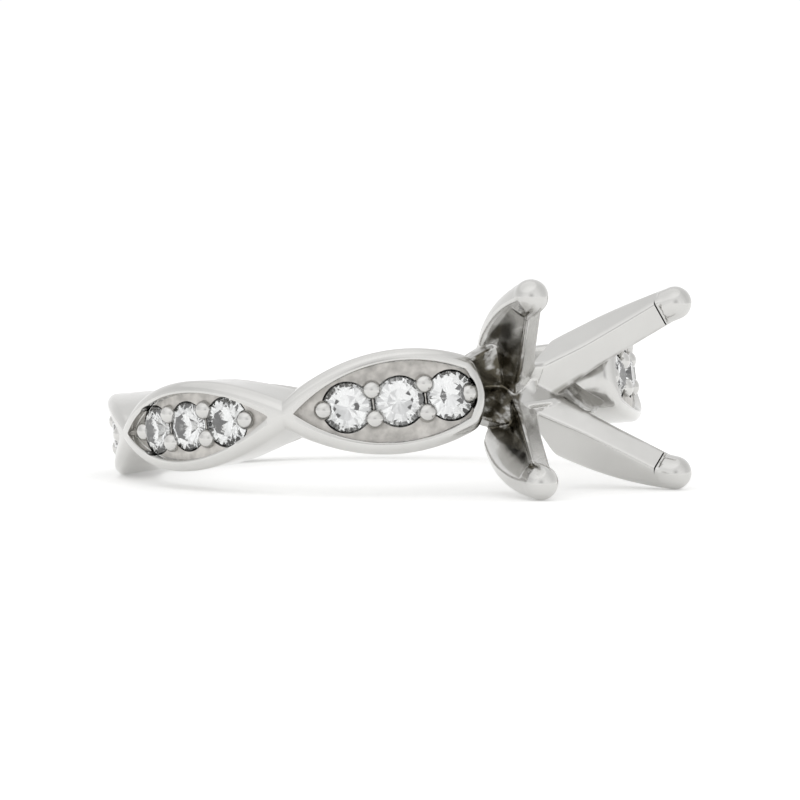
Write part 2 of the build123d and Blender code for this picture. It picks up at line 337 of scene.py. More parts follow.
def finish_mesh(mesh, material, sharp_angle=SHARP_ANGLE):
    """Merges doubles, turns the faces outwards and smooths all but the sharp edges."""
    shape = bmesh.new()
    shape.from_mesh(mesh)
    bmesh.ops.remove_doubles(shape, verts=shape.verts, dist=SAME_POINT * MM)
    bmesh.ops.dissolve_degenerate(shape, edges=shape.edges, dist=FLAT_EDGE * MM)
    bmesh.ops.recalc_face_normals(shape, faces=shape.faces)
    shape.to_mesh(mesh)
    shape.free()
    mesh.polygons.foreach_set("use_smooth", [True] * len(mesh.polygons))
    mesh.set_sharp_from_angle(angle=math.radians(sharp_angle))
    if material is not None:
        mesh.materials.clear()
        mesh.materials.append(material)


def grid_faces(rows, columns):
    """Quads of a grid of rows that are closed along their columns."""
    faces = []
    for i in range(rows - 1):
        for j in range(columns):
            k = (j + 1) % columns
            a, b = i * columns, (i + 1) * columns
            faces.append((a + j, b + j, b + k, a + k))
    return faces


def closed_faces(rows, columns):
    """The same grid with its first and last rows closed by a face each."""
    last = (rows - 1) * columns
    ends = [tuple(range(columns)), tuple(range(last + columns - 1, last - 1, -1))]
    return grid_faces(rows, columns) + ends


def circle(radius, sides):
    """Points round a circle."""
    turns = [2 * math.pi * k / sides for k in range(sides)]
    return [(radius * math.cos(turn), radius * math.sin(turn)) for turn in turns]


def join_shells(shells):
    """One list of points and faces from several."""
    points, faces = [], []
    for some_points, some_faces in shells:
        base = len(points)
        points.extend(some_points)
        faces.extend([tuple(base + k for k in face) for face in some_faces])
    return points, faces


def mirrored(shell):
    """The same shell on the near side of the ring."""
    points, faces = shell
    return [np.array(p) * (1, -1, 1) for p in points], faces


def cut_away(piece, points, faces):
    """Takes a closed solid, given in the ring's frame, out of a piece."""
    tool = mesh_piece("tool", points, faces, None)
    cut = piece.modifiers.new("cut", "BOOLEAN")
    cut.operation = "DIFFERENCE"
    cut.solver = "EXACT"
    cut.object = tool
    replace_mesh(piece)
    bpy.data.objects.remove(tool)


def replace_mesh(piece):
    """Gives a piece the mesh that its modifiers make, and clears them."""
    bpy.context.view_layer.update()
    evaluated = piece.evaluated_get(bpy.context.evaluated_depsgraph_get())
    mesh = bpy.data.meshes.new_from_object(evaluated)
    if not mesh.polygons:
        raise RuntimeError(f"{piece.name} came out empty")
    piece.modifiers.clear()
    piece.data = mesh


def join_pieces(name, parts):
    """One object from several, with their meshes joined."""
    shape = bmesh.new()
    for part in parts:
        shape.from_mesh(part.data)
    mesh = bpy.data.meshes.new(name)
    shape.to_mesh(mesh)
    shape.free()
    for material in parts[0].data.materials:
        mesh.materials.append(material)
    for part in parts:
        bpy.data.objects.remove(part)
    return add_object(name, mesh)


def declare(piece):
    """Rides on the ring and stands for the metal node."""
    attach(piece, "root")
    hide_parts(METAL_NODE)


# Lens outlines of the panels


def arc_radius(half_width, reach, width_there):
    """Radius of the arc that peaks at half_width and has width_there at a distance of reach."""
    rise = half_width - width_there
    return (rise * rise + reach * reach) / (2 * rise)


def lens_through(half_width, reach, width_there):
    """Half length of the lens made of two such arcs."""
    radius = arc_radius(half_width, reach, width_there)
    return math.sqrt(half_width * (2 * radius - half_width))


def lens_point(half_length, half_width, part):
    """Point of a lens's upper arc, from -1 at one tip to 1 at the other."""
    radius = arc_radius(half_width, half_length, 0)
    turn = math.asin(half_length / radius) * part
    return radius * math.sin(turn), radius * math.cos(turn) - radius + half_width


def lens_width(half_length, half_width, x):
    """Half width of a lens at a place along it, zero past its tips."""
    if abs(x) >= half_length:
        return 0.0
    radius = arc_radius(half_width, half_length, 0)
    return math.sqrt(radius**2 - x * x) - radius + half_width


def wall_point(inner, outer, inner_height, outer_height, radius):
    """Where the straight wall between two lens points crosses a radius, as (x, z)."""
    (xi, zi), (xo, zo) = inner, outer
    dx, dh = xo - xi, outer_height - inner_height
    a = dx * dx + dh * dh
    b = 2 * (xi * dx + inner_height * dh)
    c = xi * xi + inner_height**2 - radius**2
    part = (-b + math.sqrt(b * b - 4 * a * c)) / (2 * a)
    return xi + part * dx, zi + part * (zo - zi)


def panel_outline(s, half_width, radius, blunt, count):
    """Upper outline of a panel at a radius, from its back waist to its head end."""
    outer_radius = s.finger_radius + s.band_wall
    half = math.radians(HALF_PITCH)
    inner_half = half_width - s.inner_edge_set_back
    outer_length = lens_through(half_width, outer_radius * math.sin(half), s.waist_half_width)
    inner_length = lens_through(
        inner_half, s.finger_radius * math.sin(half), s.waist_inner_half_width
    )

    def at(part):
        inner = lens_point(inner_length, inner_half, part)
        outer = lens_point(outer_length, half_width, part)
        return wall_point(inner, outer, s.finger_radius * math.cos(half), outer_radius, radius)

    reach = radius * math.sin(math.radians(HALF_PITCH + WAIST_OVERLAP))
    dense = [at(part) for part in np.linspace(LENS_END, -LENS_END, OUTLINE_POINTS)]
    dense = [p for p in dense if abs(p[0]) <= reach]
    if not blunt:
        return even_points(dense, count, 0)

    end_arc = s.shoulder_end_arc
    span = math.radians(SHOULDER_CENTRE) - s.shoulder_end_angle
    arc_centre = end_arc - outer_radius * math.sin(span)
    kept = [
        (x, z) for x, z in dense if x >= arc_centre or math.hypot(x - arc_centre, z) <= end_arc
    ]
    x, z = kept[-1]
    for turn in np.linspace(math.atan2(z, arc_centre - x), 0, END_POINTS):
        kept.append((arc_centre - end_arc * math.cos(turn), end_arc * math.sin(turn)))
    return even_points(kept, count, SHOULDER_CORNER)


def even_points(dense, count, rounding):
    """Evenly spaced points along a polyline, with its corners rounded over a distance."""
    line = np.array(dense)
    along = np.concatenate([[0], np.cumsum(np.hypot(*np.diff(line, axis=0).T))])
    even = np.linspace(0, along[-1], count)
    line = np.stack([np.interp(even, along, line[:, k]) for k in (0, 1)], -1)
    passes = int(2 * (rounding / (even[1] - even[0])) ** 2)
    for _ in range(passes):
        past_end = np.vstack([line, [[line[-2, 0], -line[-2, 1]]]])
        line[1:] = (past_end[:-2] + 2 * past_end[1:-1] + past_end[2:]) / 4
    return line


def outward_ways(outline):
    """Unit directions square to an outline, pointing out of the panel."""
    ahead = np.gradient(outline, axis=0)
    ahead /= np.hypot(*ahead.T)[:, None]
    outward = np.stack([ahead[:, 1], -ahead[:, 0]], -1)
    return -outward if outward[0, 1] < 0 else outward


# Panels, stone seats and recess floors


def on_band(centre, x, z, radius):
    """Point of the ring from a panel's plane: x along the band, z along the finger."""
    height = math.sqrt(max(radius * radius - x * x, 0))
    c, n = math.cos(centre), math.sin(centre)
    return np.array((height * c - x * n, height * n + x * c, z))


def wall_row(s, centre, outer_spot, inner_spot, outward):
    """Points up the side of a panel: bore, softened inner edge, wall and rounded rim."""
    (xo, zo), (xi, zi), (nx, nz) = outer_spot, inner_spot, outward
    outer_radius = s.finger_radius + s.band_wall
    edge = on_band(centre, xo, zo, outer_radius)
    foot = on_band(centre, xi, zi, s.finger_radius)
    down = (foot - edge) / np.linalg.norm(foot - edge)
    row = [
        on_band(centre, xi, max(z, 0), s.finger_radius)
        for z in (0, zi - BORE_STRIP, zi - s.inner_edge_set_back)
    ]
    bore_edge = row[-1]
    wall_foot, wall_top = foot - down * s.inner_edge_set_back, edge + down * s.rim_rounding
    for part in (0.3, 0.7, 1.0):
        row.append(
            bore_edge * (1 - part) ** 2 + foot * 2 * part * (1 - part) + wall_foot * part**2
        )
    for part in (0.25, 0.5, 0.75):
        row.append(wall_foot * (1 - part) + wall_top * part)
    rounding = min(s.rim_rounding, max(zo / nz, 0)) if nz > 0.2 else s.rim_rounding
    flat = on_band(centre, xo - nx * rounding, max(zo - nz * rounding, 0), outer_radius) - edge
    for turn in np.linspace(0, math.pi / 2, RIM_STEPS):
        up, across = 1 - math.sin(turn), 1 - math.cos(turn)
        row.append(edge + down * s.rim_rounding * up + flat * across)
    return row


def recess_row(s, centre, x, z, sunk):
    """Points from the rim's inner edge to the middle of the recess, or of the plain face."""
    rim_radius = s.finger_radius + s.band_wall
    low = rim_radius - s.recess_depth if sunk else rim_radius
    corner = RECESS_CORNER if sunk else 0
    return [
        on_band(centre, x, z + corner, rim_radius),
        on_band(centre, x, z + 0.3 * corner, rim_radius - 0.3 * corner),
        on_band(centre, x, z, rim_radius - corner),
        on_band(centre, x, z, low + corner),
        on_band(centre, x, max(z - corner, 0), low),
        on_band(centre, x, z / 2, low),
        on_band(centre, x, 0, low),
    ]


def panel_shell(s, centre_degrees, half_width, blunt=False, set_with_stones=True):
    """Closed shell of a panel: bore, wall, rounded rim and recess, mirrored about its middle."""
    centre = math.radians(centre_degrees)
    outer_radius = s.finger_radius + s.band_wall
    count = settings().look.rows_per_mm * PANEL_LENGTH
    outer = panel_outline(s, half_width, outer_radius, blunt, count)
    inner = panel_outline(s, half_width, s.finger_radius, blunt, count)
    recess_length = outer_radius * math.sin(s.recess_half_span)
    outward = outward_ways(outer)
    if blunt:
        outward[-1] = (-1, 0)
    points = []
    for k, (spot, way) in enumerate(zip(outer, outward)):
        x, z = spot - way * s.rim_width
        z = max(z, 0)
        if set_with_stones:
            lens = lens_width(recess_length, half_width - s.rim_width, x)
            z = min(z, lens) if blunt and k > count * BLUNT_PART else lens
        else:
            z = min(z, PLAIN_MIDDLE * spot[1])
        sunk = set_with_stones and z > NARROWEST_RECESS
        row = wall_row(s, centre, spot, inner[k], way) + recess_row(s, centre, x, z, sunk)
        points.extend(row)
        points.extend([p * (1, 1, -1) for p in reversed(row[1:-1])])
    faces = closed_faces(count, len(points) // count)
    if blunt:
        # The round end comes to a point on the middle line, so its last face has no area.
        faces.pop()
    return points, faces


def stone_angles(centre_degrees):
    """Angles of the stones of one panel, in radians, from its head end."""
    step = settings().stones.step
    first = -(STONES_PER_PANEL - 1) / 2
    return [math.radians(centre_degrees) + (first + k) * step for k in range(STONES_PER_PANEL)]


def seat_cutter(s, t, turn):
    """Closed solid of a drilled seat: a hole for the girdle and a cone for the pavilion."""
    girdle = s.finger_radius + s.band_wall - s.recess_depth - t.girdle_drop
    c, n = math.cos(turn), math.sin(turn)
    facing = Matrix(((-n, 0, c), (c, 0, n), (0, 1, 0))).to_4x4()
    place = Matrix.Translation((girdle * c, girdle * n, 0)) @ facing
    wide = t.radius + t.seat_gap
    profile = [
        (NEEDLE, -t.pavilion - t.girdle_drop),
        (wide, -t.girdle_drop),
        (wide, s.band_wall),
    ]
    points = [
        np.array(place @ Vector((x, y, height)))
        for radius, height in profile
        for x, y in circle(radius, ROUND_SIDES)
    ]
    return points, closed_faces(len(profile), ROUND_SIDES)


def paint_floors(shank, s):
    """Gives the recess floors their own finish."""
    shank.data.materials.append(recess_metal())
    floor = (s.finger_radius + s.band_wall - s.recess_depth) * MM
    axis = ring_direction((0, 0, 1))
    near_floor = []
    for vertex in shank.data.vertices:
        out = vertex.co - RING.translation
        near_floor.append(abs((out - axis * out.dot(axis)).length - floor) < ON_FLOOR * MM)
    for face in shank.data.polygons:
        if all(near_floor[k] for k in face.vertices):
            face.material_index = 1


# Finishes


def material_tree(name):
    """Empty node material with a Principled shader and its output."""
    material = bpy.data.materials.new(name)
    material.use_nodes = True
    tree = material.node_tree
    tree.nodes.clear()
    shader = tree.nodes.new("ShaderNodeBsdfPrincipled")
    output = tree.nodes.new("ShaderNodeOutputMaterial")
    tree.links.new(shader.outputs["BSDF"], output.inputs["Surface"])
    return material, tree, shader


def object_noise(tree, scale, detail):
    """Noise over the object's own coordinates."""
    coordinates = tree.nodes.new("ShaderNodeTexCoord")
    noise = tree.nodes.new("ShaderNodeTexNoise")
    noise.inputs["Scale"].default_value = scale
    noise.inputs["Detail"].default_value = detail
    tree.links.new(coordinates.outputs["Object"], noise.inputs["Vector"])
    return noise.outputs["Fac"]


def ramp_between(tree, source, low, high, start=0.3, end=0.7):
    """Colour ramp from low to high over the middle of a noise."""
    ramp = tree.nodes.new("ShaderNodeValToRGB")
    for element, place, tone in zip(ramp.color_ramp.elements, (start, end), (low, high)):
        element.position = place
        element.color = (*tone, 1)
    tree.links.new(source, ramp.inputs["Fac"])
    return ramp.outputs["Color"]


def toned(tone, times):
    """Colour made darker or lighter."""
    return [times * c for c in tone]


def add_bump(tree, shader, height, strength, depth):
    """Slight unevenness of a surface, with its depth in millimetres."""
    bump = tree.nodes.new("ShaderNodeBump")
    bump.inputs["Strength"].default_value = strength
    bump.inputs["Distance"].default_value = depth * MM
    tree.links.new(height, bump.inputs["Height"])
    tree.links.new(bump.outputs["Normal"], shader.inputs["Normal"])


def polished_metal(name="polished_metal", painted_reflection=None):
    """Polished white metal with faint tone changes and the slight waviness of hand polishing, with
    painted dark reflections and shade where a mask is given.
    """
    found = bpy.data.materials.get(name)
    if found:
        return found
    look = settings().look
    material, tree, shader = material_tree(name)
    shader.inputs["Metallic"].default_value = 1.0
    low, high = toned(look.metal_colour, 0.96), toned(look.metal_colour, 1.04)
    tone = ramp_between(tree, object_noise(tree, TONE_GRAIN, 3), low, high)
    # Painted dark reflections and shade mixed into the colour where the mask is given
    if painted_reflection:
        tone = with_painted_reflection(tree, tone, painted_reflection(tree))
    tree.links.new(tone, shader.inputs["Base Color"])
    fine = object_noise(tree, ROUGHNESS_GRAIN, 2)
    low, high = [0.75 * look.metal_roughness] * 3, [1.3 * look.metal_roughness] * 3
    tree.links.new(ramp_between(tree, fine, low, high), shader.inputs["Roughness"])
    add_bump(tree, shader, object_noise(tree, WAVE_GRAIN, 2), *POLISH_BUMP)
    return material


def recess_metal():
    """Duller, slightly darker metal of the recess floors, left by the graver."""
    look = settings().look
    material, tree, shader = material_tree("recess_metal")
    shader.inputs["Metallic"].default_value = 1.0
    shader.inputs["Roughness"].default_value = GRAVED_ROUGHNESS
    marks = object_noise(tree, look.graver_grain, 4)
    dark = toned(look.recess_colour, look.recess_tone)
    tone = ramp_between(tree, marks, dark, look.recess_colour)
    tree.links.new(tone, shader.inputs["Base Color"])
    add_bump(tree, shader, marks, *GRAVER_BUMP)
    return material


def with_painted_reflection(tree, metal, amount):
    """Metal colour mixed with blotchy painted dark reflections and shade, by an amount."""
    look = settings().look
    reflection_blotches = object_noise(tree, look.painted_reflection_grain, 3)
    light = toned(look.metal_colour, look.painted_reflection_break)
    mix = tree.nodes.new("ShaderNodeMix")
    mix.data_type = "RGBA"
    tree.links.new(amount, mix.inputs["Factor"])
    tree.links.new(metal, mix.inputs["A"])
    dark = ramp_between(tree, reflection_blotches, look.painted_reflection_colour, light, 0.48, 0.59)
    tree.links.new(dark, mix.inputs["B"])
    return mix.outputs["Result"]


def math_node(tree, operation, first, second):
    """Result of a sum on two values or links."""
    node = tree.nodes.new("ShaderNodeMath")
    node.operation = operation
    for socket, value in zip(node.inputs, (first, second)):
        if isinstance(value, float):
            socket.default_value = value
        else:
            tree.links.new(value, socket)
    return node.outputs["Value"]


def span_node(tree, source, start, end, low=0, high=1):
    """Value that goes from low to high while its source goes from start to end."""
    span = tree.nodes.new("ShaderNodeMapRange")
    sockets = ("From Min", "From Max", "To Min", "To Max")
    for socket, value in zip(sockets, (start, end, low, high)):
        span.inputs[socket].default_value = value
    tree.links.new(source, span.inputs["Value"])
    return span.outputs["Result"]


def dot_node(tree, source, way):
    """Distance of a point along a direction."""
    dot = tree.nodes.new("ShaderNodeVectorMath")
    dot.operation = "DOT_PRODUCT"
    dot.inputs[1].default_value = way
    tree.links.new(source, dot.inputs[0])
    return dot.outputs["Value"]


def span_along(tree, coordinates, way, spot, start, end, low=0, high=1):
    """The same while a point goes from start to end, in millimetres, from a spot of the ring."""
    way = ring_direction(way)
    base = way.dot(RING @ Vector(spot))
    distance = dot_node(tree, coordinates, way)
    return span_node(tree, distance, base + start * MM, base + end * MM, low, high)


def painted_reflection_side(tree, coordinates, tip, sibling):
    """Mask of the painted dark reflections and shade: one past a prong's side that faces its
    sibling, zero inside the prong.
    """
    h = settings().head
    away = Vector((0, tip[0], tip[1] - h.foot_shift))
    side = Vector((1, 0, 0)).cross(away)
    if side.dot(Vector((0, sibling[0], sibling[1] - h.foot_shift))) < 0:
        side = -side
    foot = (h.foot_radius, 0, h.foot_shift)
    return span_along(tree, coordinates, side, foot, h.painted_reflection_start, h.painted_reflection_full)


def painted_reflection_amount(tree):
    """Amount of painted dark reflection and shade: full between the near prongs, less on the far
    side and at the tips.
    """
    h = settings().head
    coordinates = tree.nodes.new("ShaderNodeTexCoord").outputs["Object"]
    amounts = []
    for side, strength in (("near", 1.0), ("far", settings().look.far_painted_reflection)):
        upper, lower = PRONG_TIPS[f"{side}_upper"], PRONG_TIPS[f"{side}_lower"]
        first = painted_reflection_side(tree, coordinates, upper, lower)
        second = painted_reflection_side(tree, coordinates, lower, upper)
        between = math_node(tree, "MINIMUM", first, second)
        amounts.append(math_node(tree, "MULTIPLY", between, strength))
    fade = span_along(
        tree, coordinates, (1, 0, 0), (0, 0, 0), h.painted_reflection_fade_start, h.painted_reflection_fade_end, 1, h.painted_reflection_at_tip
    )
    return math_node(tree, "MULTIPLY", math_node(tree, "MAXIMUM", *amounts), fade)


def clear_stone():
    """Clear cut stone with a high refraction and a trace of tint."""
    tone = settings().look.stone_colour
    material, tree, shader = material_tree("clear_stone")
    shader.inputs["Roughness"].default_value = 0.0
    shader.inputs["IOR"].default_value = STONE_REFRACTION
    shader.inputs["Transmission Weight"].default_value = 1.0
    cloud = ramp_between(tree, object_noise(tree, STONE_GRAIN, 2), toned(tone, 0.96), tone)
    tree.links.new(cloud, shader.inputs["Base Color"])
    return material


def pale_floor():
    """Matt pale floor with a faint mottling, that glows a little."""
    look = settings().look
    tone = look.floor_colour
    material, tree, shader = material_tree("pale_floor")
    shader.inputs["Roughness"].default_value = FLOOR_ROUGHNESS
    shader.inputs["Emission Strength"].default_value = look.floor_glow
    cloud = ramp_between(tree, object_noise(tree, FLOOR_GRAIN, 3), toned(tone, 0.985), tone)
    tree.links.new(cloud, shader.inputs["Base Color"])
    tree.links.new(cloud, shader.inputs["Emission Color"])
    return material


# Shank


class RING_OT_shank(bpy.types.Operator):
    """Seven lens-shaped panels that meet at narrow waists, with drilled stone seats"""

    bl_idname = "ring.build_shank"
    bl_label = "Build shank"

    def execute(self, context):
        s, t = settings().shank, settings().stones
        metal = polished_metal()
        widths = (s.shoulder_half_width, s.side_half_width, s.lower_half_width)
        parts = []
        for step, half_width in enumerate(widths):
            centre = SHOULDER_CENTRE + step * PANEL_PITCH
            shell = panel_shell(s, centre, half_width, blunt=step == 0)
            cutters = [seat_cutter(s, t, turn) for turn in stone_angles(centre)]
            for side in ("far", "near"):
                if side == "near":
                    shell, cutters = mirrored(shell), [mirrored(c) for c in cutters]
                panel = mesh_piece(f"panel_{side}_{step + 1}", *shell, metal)
                cut_away(panel, *join_shells(cutters))
                finish_mesh(panel.data, metal)
                parts.append(panel)
        base = panel_shell(s, BASE_CENTRE, s.base_half_width, set_with_stones=False)
        parts.append(mesh_piece("panel_base", *base, metal))
        shank = join_pieces("shank", parts)
        shank.data.set_sharp_from_angle(angle=math.radians(SHARP_ANGLE))
        paint_floors(shank, s)
        declare(shank)
        return {"FINISHED"}


# Head


def prong_rows(h, tip):
    """Rows of a bowed, tapered prong from its foot to its neck, and the frame at its neck."""
    foot = Vector((h.foot_radius, 0, h.foot_shift))
    away = Vector((0, h.sideways_share * tip.y, tip.z))
    along = (tip - foot).normalized()
    outward = (away - along * away.dot(along)).normalized()
    neck = tip + outward * (h.tip_radius - h.neck_depth / 2)
    run = neck - foot

    def frame_at(t):
        place = foot + run * t + outward * (4 * h.bow * t * (1 - t))
        heading = (run + outward * (4 * h.bow * (1 - 2 * t))).normalized()
        across = (outward - heading * outward.dot(heading)).normalized()
        return place, across, heading.cross(across), heading

    place, across, side, _ = frame_at(1)
    inner_end = place - across * h.neck_depth / 2
    inner_facing = (inner_end - Vector((h.hub_radius, 0, h.foot_shift))).cross(side)
    points = []
    for t in np.linspace(0, 1, PRONG_ROWS):
        place, across, side, _ = frame_at(t)
        weights = ((1 - t) * (1 - 2 * t), 4 * t * (1 - t), t * (2 * t - 1))
        depth = sum(w * d for w, d in zip(weights, (h.foot_depth, h.middle_depth, h.neck_depth)))
        width = sum(w * d for w, d in zip(weights, (h.foot_width, h.middle_width, h.neck_width)))
        width += h.root_spread * max(0, 1 - 2 * t)
        inner = (place - inner_end).dot(inner_facing) / across.dot(inner_facing)
        inner = min(max(inner, depth / 2), h.foot_depth + depth / 2)
        for a, b in prong_outline(inner, depth, width, h.bulge_share):
            points.append(np.array(place + across * a + side * b))
    return points, frame_at(1)


def prong_outline(inner, depth, width, bulge_share):
    """Outline of a prong: flat inside, rounded outside, with softened corners."""
    half, rise = width / 2, bulge_share * depth
    flank = depth / 2 - rise - 0.3 * depth
    radius = (half * half + rise * rise) / (2 * rise)
    reach = math.asin(min(half / radius, 1))
    corner = [
        (PRONG_CORNER * (1 + math.cos(turn)) - inner, PRONG_CORNER * (1 + math.sin(turn)) - half)
        for turn in np.linspace(math.pi, 1.5 * math.pi, 5)
    ]
    bulge = [
        (depth / 2 - radius + radius * math.cos(turn), radius * math.sin(turn))
        for turn in np.linspace(-reach, reach, 15)
    ]
    return [*corner, (flank, -half), *bulge, (flank, half), *[(a, -b) for a, b in reversed(corner)]]


def notch_shell(h, frame_there):
    """Wedge that cuts a prong's inner face for the centre stone's edge."""
    place, across, side, heading = frame_there
    wedge = (
        (h.notch_depth - h.neck_depth / 2, -h.notch_below_tip),
        (-h.neck_depth, h.notch_half_height - h.notch_below_tip),
        (-h.neck_depth, -h.notch_half_height - h.notch_below_tip),
    )
    points = [
        np.array(place + across * a + heading * b + side * reach)
        for reach in (-h.neck_width, h.neck_width)
        for a, b in wedge
    ]
    return points, closed_faces(2, len(wedge))


def cap_shell(h, tip, frame_there):
    """Closed round bar end: a half ball on a short round bar with a flat lower end."""
    _, across, side, heading = frame_there
    profile = [(h.tip_radius, -h.cap_length)]
    for tilt in np.linspace(0, math.pi / 2, CAP_RINGS):
        reach = max(h.tip_radius * math.cos(tilt), SMALLEST_RING)
        profile.append((reach, h.tip_radius * math.sin(tilt)))
    points = [
        np.array(tip + heading * along + across * a + side * b)
        for reach, along in profile
        for a, b in circle(reach, ROUND_SIDES)
    ]
    return points, closed_faces(len(profile), ROUND_SIDES)


def hub_shell(h):
    """Closed egg that fills the meeting of the prongs."""
    points = []
    for tilt in np.linspace(-math.pi / 2, math.pi / 2, HUB_RINGS + 1):
        reach = h.hub_height * max(math.cos(tilt), 0.002)
        fingerways = h.foot_shift + h.hub_half_length * math.sin(tilt)
        for a, b in circle(reach, HUB_SIDES):
            points.append(np.array((h.hub_foot + a, b, fingerways)))
    return points, closed_faces(HUB_RINGS + 1, HUB_SIDES)


def bridge_shell(s, h):
    """Grooved stretch of the shank under the head, rising and widening to the shoulder panels."""
    reach = s.shoulder_end_angle + math.radians(BRIDGE_OVERLAP)
    inside, groove = s.finger_radius - BRIDGE_SINK, s.finger_radius + h.groove_floor
    points = []
    for turn in np.linspace(-reach, reach, BRIDGE_ROWS):
        part = min(max((abs(turn) - h.web_start) / (h.web_end - h.web_start), 0), 1)
        rise = part * part * (3 - 2 * part)
        under_shoulder = min(max((abs(turn) - h.web_end) / (reach - h.web_end), 0), 1)
        top = s.finger_radius + h.bridge_height + rise * h.web_rise
        half = h.bridge_half_width + rise * h.web_spread - under_shoulder * h.web_tuck
        land = (h.bridge_half_width - h.groove_half_width) * (1 - 0.7 * rise)
        flank = [
            (inside, half),
            (top - BRIDGE_CORNER, half),
            (top, half - BRIDGE_CORNER),
            (top, half - land),
        ]
        section = [*[(radius, -z) for radius, z in flank], (groove, 0), *reversed(flank)]
        for radius, z in section:
            x, y = radius * math.cos(turn), radius * math.sin(turn)
            points.append(np.array((x, y, z + h.web_shift * rise)))
    return points, closed_faces(BRIDGE_ROWS, len(section))


def bore_shell(s):
    """Closed cylinder of the finger hole."""
    around = circle(s.finger_radius, BORE_SIDES)
    ends = (-BORE_HALF_LENGTH, BORE_HALF_LENGTH)
    points = [np.array((x, y, z)) for z in ends for x, y in around]
    return points, closed_faces(2, BORE_SIDES)


def casting(name, shells, face_size):
    """One rounded body from overlapping closed shells, as a casting comes out of polishing."""
    mesh = bpy.data.meshes.new(name)
    points, faces = join_shells(shells)
    mesh.from_pydata([Vector(p) for p in points], [], faces)
    shape = bmesh.new()
    shape.from_mesh(mesh)
    bmesh.ops.recalc_face_normals(shape, faces=shape.faces)
    shape.to_mesh(mesh)
    shape.free()
    body = add_object(name, mesh)
    melt = body.modifiers.new("melt", "REMESH")
    melt.mode = "VOXEL"
    melt.voxel_size = face_size
    polish = body.modifiers.new("polish", "SMOOTH")
    polish.factor = 0.5
    polish.iterations = 4
    replace_mesh(body)
    body.data.transform(RING)
    return body


class RING_OT_head(bpy.types.Operator):
    """Four bowed prongs with rounded tips, on the grooved bridge"""

    bl_idname = "ring.build_head"
    bl_label = "Build head"

    def execute(self, context):
        s, h = settings().shank, settings().head
        shells, notches = [bridge_shell(s, h), hub_shell(h)], []
        for sideways, fingerways in PRONG_TIPS.values():
            tip = Vector((h.reach, sideways, fingerways))
            points, frame_there = prong_rows(h, tip)
            shells.append((points, closed_faces(PRONG_ROWS, len(points) // PRONG_ROWS)))
            shells.append(cap_shell(h, tip, frame_there))
            notches.append(notch_shell(h, frame_there))
        whole = casting("head", shells, h.casting_grain)
        cut_away(whole, *join_shells([bore_shell(s), *notches]))
        # Head metal with painted dark reflections and shade between the prongs
        metal = polished_metal("head_metal", painted_reflection_amount)
        finish_mesh(whole.data, metal, HEAD_SHARP_ANGLE)
        declare(whole)
        return {"FINISHED"}


# Beads and stones


def bead_places(t):
    """Angle, finger-ways place and radius of each bead of both sides."""
    places = []
    for step in range(3):
        centre = SHOULDER_CENTRE + step * PANEL_PITCH
        angles = stone_angles(centre)
        for a, b in zip(angles, angles[1:]):
            for side in (-1, 1):
                places.append(((a + b) / 2, side * t.bead_half_spread, t.bead_radius))
        head_end = t.end_bead_angle if step == 0 else t.tip_bead_angle
        for turn in (-head_end, t.tip_bead_angle):
            places.append((math.radians(centre) + turn, 0, t.tip_bead_radius))
    return places + [(-turn, z, radius) for turn, z, radius in places]


def bead_tree(metal):
    """Node tree that puts a rounded bead on each point, turned to the point's facing."""
    tree = bpy.data.node_groups.new("beads", "GeometryNodeTree")
    face = tree.interface
    face.new_socket("Geometry", in_out="INPUT", socket_type="NodeSocketGeometry")
    squash = face.new_socket("Height share", in_out="INPUT", socket_type="NodeSocketFloat")
    squash.default_value = 1.0
    face.new_socket("Geometry", in_out="OUTPUT", socket_type="NodeSocketGeometry")
    new = tree.nodes.new
    source, result = new("NodeGroupInput"), new("NodeGroupOutput")
    sphere = new("GeometryNodeMeshUVSphere")
    sphere.inputs["Segments"].default_value = BEAD_SIDES
    sphere.inputs["Rings"].default_value = BEAD_RINGS
    sphere.inputs["Radius"].default_value = 1.0
    smooth = new("GeometryNodeSetShadeSmooth")
    place = new("GeometryNodeInstanceOnPoints")
    facing, size = new("GeometryNodeInputNamedAttribute"), new("GeometryNodeInputNamedAttribute")
    facing.data_type, size.data_type = "FLOAT_VECTOR", "FLOAT"
    facing.inputs["Name"].default_value = "facing"
    size.inputs["Name"].default_value = "bead_radius"
    align = new("FunctionNodeAlignRotationToVector")
    height = new("ShaderNodeMath")
    height.operation = "MULTIPLY"
    scale = new("ShaderNodeCombineXYZ")
    realize = new("GeometryNodeRealizeInstances")
    paint = new("GeometryNodeSetMaterial")
    paint.inputs["Material"].default_value = metal
    for giver, output, taker, socket in (
        (source, "Geometry", place, "Points"),
        (sphere, "Mesh", smooth, "Geometry"),
        (smooth, "Geometry", place, "Instance"),
        (facing, "Attribute", align, "Vector"),
        (align, "Rotation", place, "Rotation"),
        (size, "Attribute", height, 0),
        (source, "Height share", height, 1),
        (size, "Attribute", scale, "X"),
        (size, "Attribute", scale, "Y"),
        (height, "Value", scale, "Z"),
        (scale, "Vector", place, "Scale"),
        (place, "Instances", realize, "Geometry"),
        (realize, "Geometry", paint, "Geometry"),
        (paint, "Geometry", result, "Geometry"),
    ):
        tree.links.new(giver.outputs[output], taker.inputs[socket])
    return tree, squash.identifier


